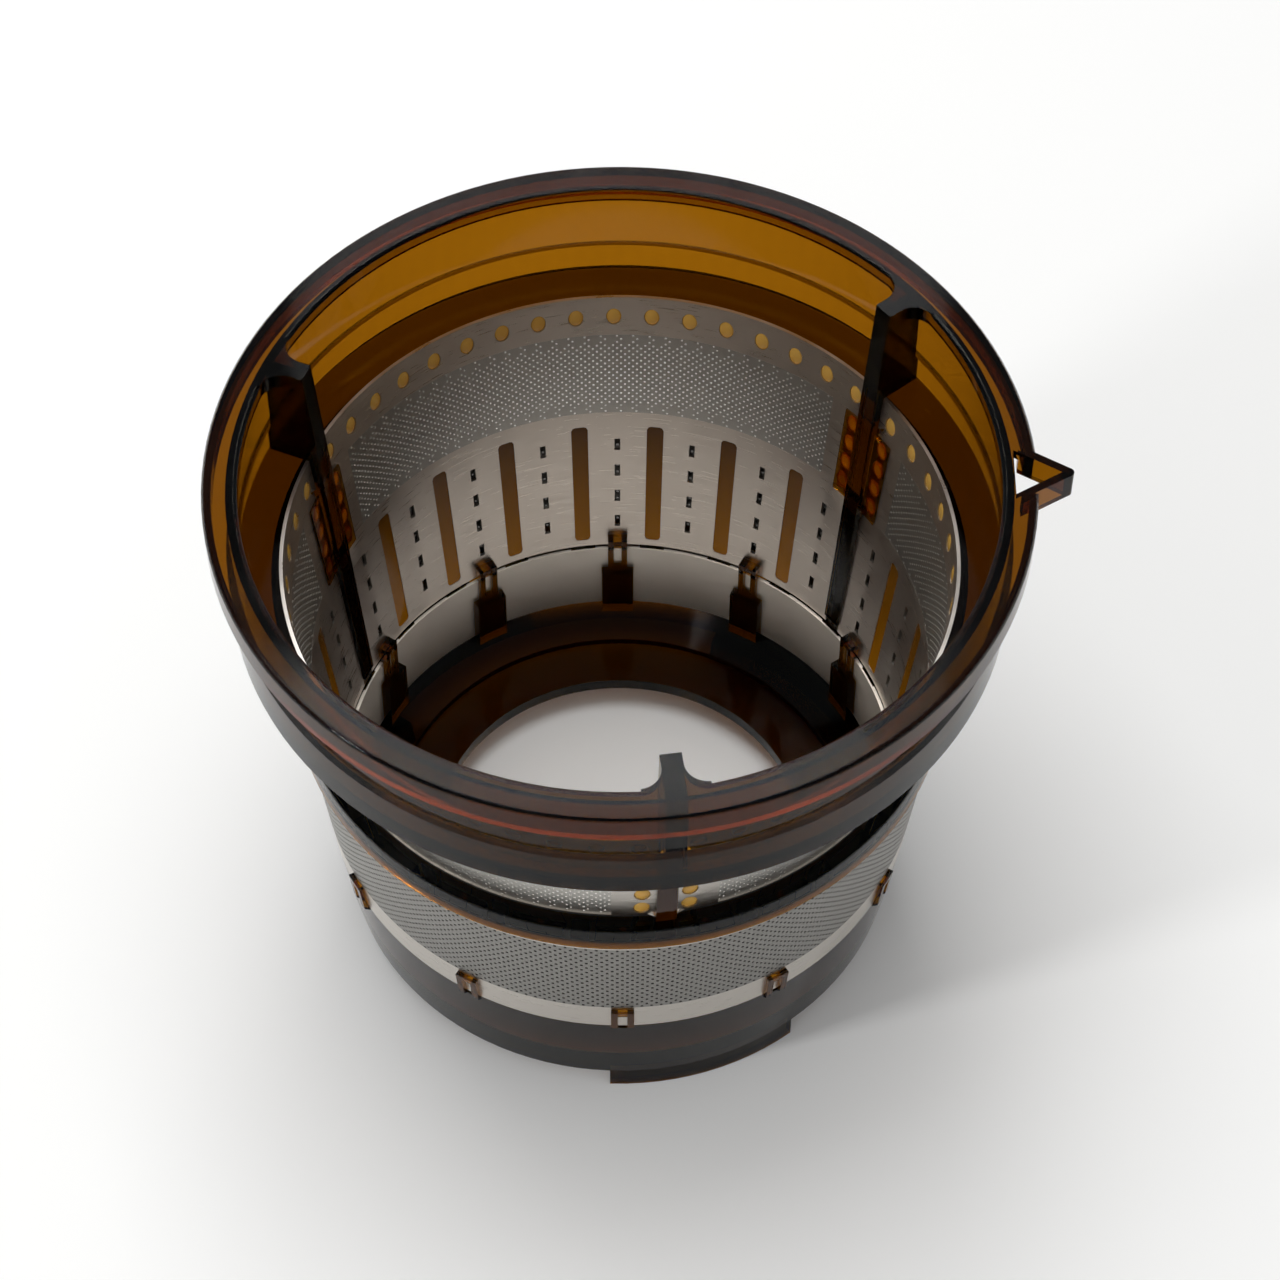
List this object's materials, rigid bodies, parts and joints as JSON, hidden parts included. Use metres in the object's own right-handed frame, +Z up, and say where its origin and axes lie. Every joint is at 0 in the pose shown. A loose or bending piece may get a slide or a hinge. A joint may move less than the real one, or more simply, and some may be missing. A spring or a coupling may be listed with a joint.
{
  "type": "juicer mesh screen",
  "caption": "Strainer drum of a slow juicer: a moulded amber frame with rim, collar, guide ribs and base ring that holds perforated steel sheets, so juice passes and pulp stays inside.",
  "frame": {"origin": "centre of the bore in the floor, at the underside of the base ring", "axes": "+Z up along the drum's axis towards the rim, +X towards the locating lug, millimetres in the source"},
  "size_m": [0.122, 0.117, 0.0964],
  "materials": {
    "amber_plastic": "clear amber, glossy",
    "steel_sheet": "satin"
  },
  "bodies": {
    "root": {"moulded_frame": "amber_plastic", "outer_sleeve": "steel_sheet", "lower_band": "steel_sheet", "inner_screen_1": "steel_sheet", "inner_screen_2": "steel_sheet", "inner_screen_3": "steel_sheet"}
  },
  "joints": []
}
